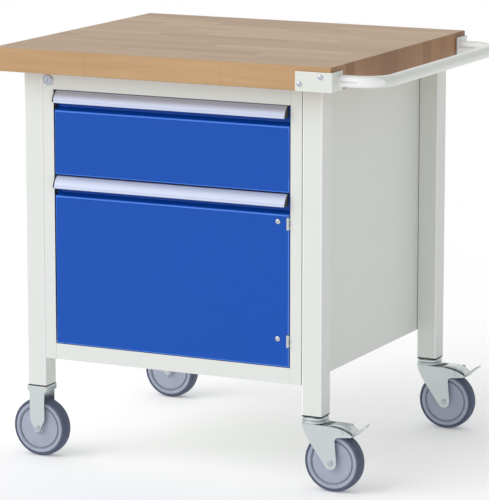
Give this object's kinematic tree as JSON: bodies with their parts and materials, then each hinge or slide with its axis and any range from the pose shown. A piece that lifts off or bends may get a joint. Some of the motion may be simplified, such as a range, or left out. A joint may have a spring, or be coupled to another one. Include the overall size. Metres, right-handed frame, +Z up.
{
  "type": "mobile workbench with drawers",
  "caption": "Mobile workbench: wooden top on a steel cabinet with a drawer over a hinged door, a tubular push handle, and fixed and swivelling braked casters.",
  "frame": {"origin": "on the floor, under the middle of the overall length and depth", "axes": "+Z up, the drawer's and door's fronts face -Y, the push handle is on the +X side"},
  "size_m": [0.8744, 0.7088, 0.88],
  "materials": {
    "beech": "oiled solid beech",
    "grey_paint": "fine-textured light grey powder coat, satin",
    "blue_paint": "fine-textured blue powder coat, satin",
    "aluminium": "clear anodised extrusion",
    "black_plastic": "moulded black plastic",
    "zinc": "bright zinc plated steel",
    "chrome": "nickel or chrome plated, polished",
    "wheel": "slate grey tyre on a blue grey plastic rim"
  },
  "bodies": {
    "frame": {"axle_back_left": "chrome", "axle_front_left": "chrome", "back_panel": "grey_paint", "divider_panel": "grey_paint", "door_catch": "black_plastic", "fixed_fork_back_left": "zinc", "fixed_fork_front_left": "zinc", "floor_panel": "grey_paint", "front_rail_bottom": "grey_paint", "front_rail_top": "grey_paint", "handle_bracket_back": "grey_paint", "handle_bracket_front": "grey_paint", "hinge_bottom_frame_leaf": "zinc", "hinge_bottom_pin": "zinc", "hinge_top_frame_leaf": "zinc", "hinge_top_pin": "zinc", "leg_back_left": "grey_paint", "leg_back_right": "grey_paint", "leg_front_left": "grey_paint", "leg_front_right": "grey_paint", "leg_plug_back_left": "black_plastic", "leg_plug_back_right": "black_plastic", "leg_plug_front_left": "black_plastic", "leg_plug_front_right": "black_plastic", "lock_housing": "chrome", "push_handle_tube": "grey_paint", "side_panel_left": "grey_paint", "side_panel_right": "grey_paint", "slide_fixed_left": "zinc", "slide_fixed_right": "zinc", "swivel_mount_back_right": "zinc", "swivel_mount_front_right": "zinc", "worktop": "beech"},
    "caster_back_right": {"axle_back_right": "chrome", "swivel_fork_back_right": "zinc"},
    "caster_front_right": {"axle_front_right": "chrome", "swivel_fork_front_right": "zinc"},
    "brake_pedal_back_right": {"brake_pedal_back_right": "zinc"},
    "brake_pedal_front_right": {"brake_pedal_front_right": "zinc"},
    "door": {"door_grip_strip": "aluminium", "door_leaf": "blue_paint", "door_strip_cap_left": "black_plastic", "door_strip_cap_right": "black_plastic", "hinge_bottom_door_leaf": "zinc", "hinge_top_door_leaf": "zinc"},
    "drawer": {"drawer_front": "blue_paint", "drawer_grip_strip": "aluminium", "drawer_strip_cap_left": "black_plastic", "drawer_strip_cap_right": "black_plastic", "drawer_tray": "grey_paint", "slide_inner_left": "zinc", "slide_inner_right": "zinc"},
    "lock_plug": {"lock_plug": "chrome"},
    "locking_bar": {"locking_bar": "zinc"},
    "drawer_slide_middle": {"slide_middle_left": "zinc", "slide_middle_right": "zinc"},
    "wheel_back_left": {"wheel_back_left": "wheel"},
    "wheel_back_right": {"wheel_back_right": "wheel"},
    "wheel_front_left": {"wheel_front_left": "wheel"},
    "wheel_front_right": {"wheel_front_right": "wheel"}
  },
  "joints": [
    {"name": "drawer_slide", "type": "slide", "parent": "frame", "child": "drawer", "axis": [0, -1, 0], "range_m": [0, 0.5]},
    {"name": "drawer_middle_slide", "type": "slide", "parent": "frame", "child": "drawer_slide_middle", "axis": [0, -1, 0], "range_m": [0, 0.25]},
    {"name": "door_hinge", "type": "hinge", "parent": "frame", "child": "door", "pos_m": [0.21575, -0.299, 0.43], "axis": [0, 0, 1], "range_deg": [0, 95]},
    {"name": "lock_turn", "type": "hinge", "parent": "frame", "child": "lock_plug", "pos_m": [-0.33715, -0.297, 0.81], "axis": [0, -1, 0], "range_deg": [0, 90]},
    {"name": "locking_bar_lift", "type": "slide", "parent": "frame", "child": "locking_bar", "axis": [0, 0, 1], "range_m": [0, 0.006]},
    {"name": "swivel_front_right", "type": "hinge", "parent": "frame", "child": "caster_front_right", "pos_m": [0.26825, -0.2745, 0.14], "axis": [0, 0, 1], "continuous": true},
    {"name": "wheel_spin_front_right", "type": "hinge", "parent": "caster_front_right", "child": "wheel_front_right", "pos_m": [0.31125, -0.2745, 0.0625], "axis": [0, 1, 0], "continuous": true},
    {"name": "brake_front_right", "type": "hinge", "parent": "caster_front_right", "child": "brake_pedal_front_right", "pos_m": [0.33725, -0.2745, 0.128], "axis": [0, 1, 0], "range_deg": [0, 10]},
    {"name": "wheel_spin_front_left", "type": "hinge", "parent": "frame", "child": "wheel_front_left", "pos_m": [-0.37275, -0.2745, 0.0625], "axis": [0, 1, 0], "continuous": true},
    {"name": "swivel_back_right", "type": "hinge", "parent": "frame", "child": "caster_back_right", "pos_m": [0.26825, 0.3275, 0.14], "axis": [0, 0, 1], "continuous": true},
    {"name": "wheel_spin_back_right", "type": "hinge", "parent": "caster_back_right", "child": "wheel_back_right", "pos_m": [0.31125, 0.3275, 0.0625], "axis": [0, 1, 0], "continuous": true},
    {"name": "brake_back_right", "type": "hinge", "parent": "caster_back_right", "child": "brake_pedal_back_right", "pos_m": [0.33725, 0.3275, 0.128], "axis": [0, 1, 0], "range_deg": [0, 10]},
    {"name": "wheel_spin_back_left", "type": "hinge", "parent": "frame", "child": "wheel_back_left", "pos_m": [-0.37275, 0.3275, 0.0625], "axis": [0, 1, 0], "continuous": true}
  ],
  "couplings": [
    {"joint": "drawer_middle_slide", "follows": "drawer_slide", "ratio": 0.5},
    {"joint": "lock_turn", "follows": "locking_bar_lift", "rad_per_m": 261.8}
  ]
}
